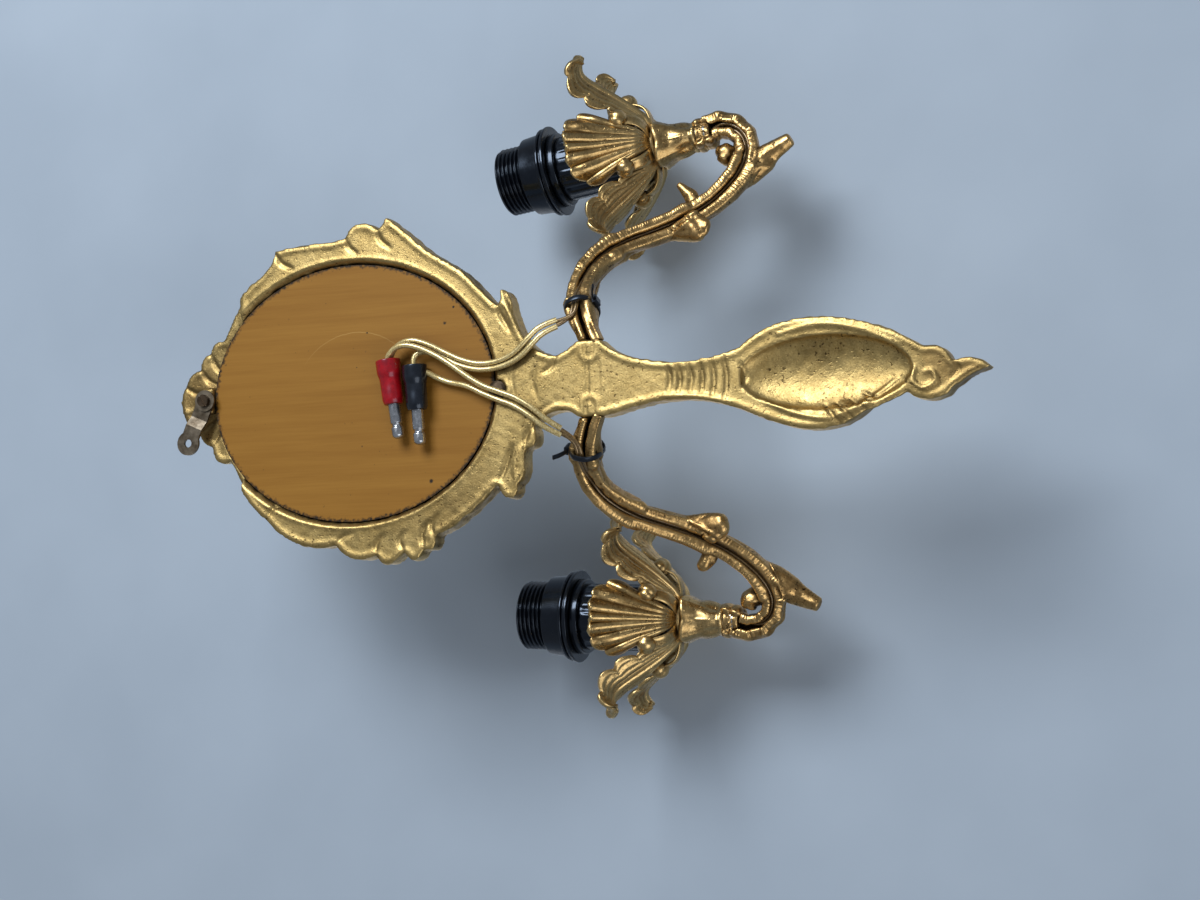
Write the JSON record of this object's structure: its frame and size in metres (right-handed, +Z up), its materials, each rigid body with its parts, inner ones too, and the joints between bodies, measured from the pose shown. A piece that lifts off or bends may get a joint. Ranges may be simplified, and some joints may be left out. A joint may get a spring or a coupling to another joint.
{
  "type": "girandole mirror wall sconce",
  "caption": "Cast brass wall sconce with an oval mirror, leaf-shaped stem, curling candle arms, leaf pans and small screw lampholders; hangs on a pivoting strap.",
  "frame": {"origin": "on the casting's flat back, in the middle of the waist where the arms meet the stem", "axes": "+Z up, the front of the mirror faces -Y, +X to the right seen from the front; millimetres in the source, metres here"},
  "size_m": [0.2608, 0.0945, 0.3382],
  "materials": {
    "cast_brass": "cast, lacquered, pale yellow with dark pits",
    "arm_brass": "cast, brown patina in the recesses",
    "leaf_brass": "cast, burnished on the ridges",
    "glass": "silvered glass",
    "backing_paint": "orange-brown protective paint",
    "black_steel": "blackened steel screw",
    "strap_steel": "dull grey steel, slightly tarnished",
    "plated_steel": "plated steel thread",
    "black_plastic": "glossy black moulding",
    "sheet_brass": "thin drawn brass",
    "flex": "clear insulation over fine strands",
    "tie_plastic": "black nylon",
    "red_sleeve": "moulded red insulation",
    "nickel": "plated, slightly dull",
    "black_sleeve": "moulded black insulation"
  },
  "bodies": {
    "sconce": {"frame_casting": "cast_brass", "mirror_glass": "glass", "mirror_paint": "backing_paint", "mirror_stop_screw": "black_steel", "hanger_washer": "strap_steel", "hanger_screw": "black_steel", "arm_left": "arm_brass", "cup_left": "arm_brass", "leaf_pan_left": "leaf_brass", "nipple_left": "plated_steel", "lock_nut_left": "plated_steel", "holder_cap_left": "black_plastic", "contact_carrier_left": "black_plastic", "holder_sleeve_left": "black_plastic", "lamp_shell_left": "sheet_brass", "centre_contact_left": "sheet_brass", "flex_in_arm_left": "flex", "cable_tie_left": "tie_plastic", "arm_right": "arm_brass", "cup_right": "arm_brass", "leaf_pan_right": "leaf_brass", "nipple_right": "plated_steel", "lock_nut_right": "plated_steel", "holder_cap_right": "black_plastic", "contact_carrier_right": "black_plastic", "holder_sleeve_right": "black_plastic", "lamp_shell_right": "sheet_brass", "centre_contact_right": "sheet_brass", "flex_in_arm_right": "flex", "cable_tie_right": "tie_plastic", "plug_sleeve_red": "red_sleeve", "plug_pin_red": "nickel", "plug_sleeve_black": "black_sleeve", "plug_pin_black": "nickel", "lead_left_red": "flex", "lead_left_black": "flex", "lead_right_red": "flex", "lead_right_black": "flex"},
    "hanger": {"hanger_strap": "strap_steel"},
    "ring_left": {"shade_ring_left": "black_plastic"},
    "ring_right": {"shade_ring_right": "black_plastic"}
  },
  "joints": [
    {"name": "hanger_turn", "type": "hinge", "parent": "sconce", "child": "hanger", "pos_m": [0, 0.00065, 0.1686], "axis": [0, 1, 0], "continuous": true},
    {"name": "shade_ring_left_slide", "type": "slide", "parent": "sconce", "child": "ring_left", "axis": [0.1392, 0, 0.9903], "range_m": [0, 0.011]},
    {"name": "shade_ring_right_slide", "type": "slide", "parent": "sconce", "child": "ring_right", "axis": [-0.0436, 0, 0.999], "range_m": [0, 0.011]}
  ]
}
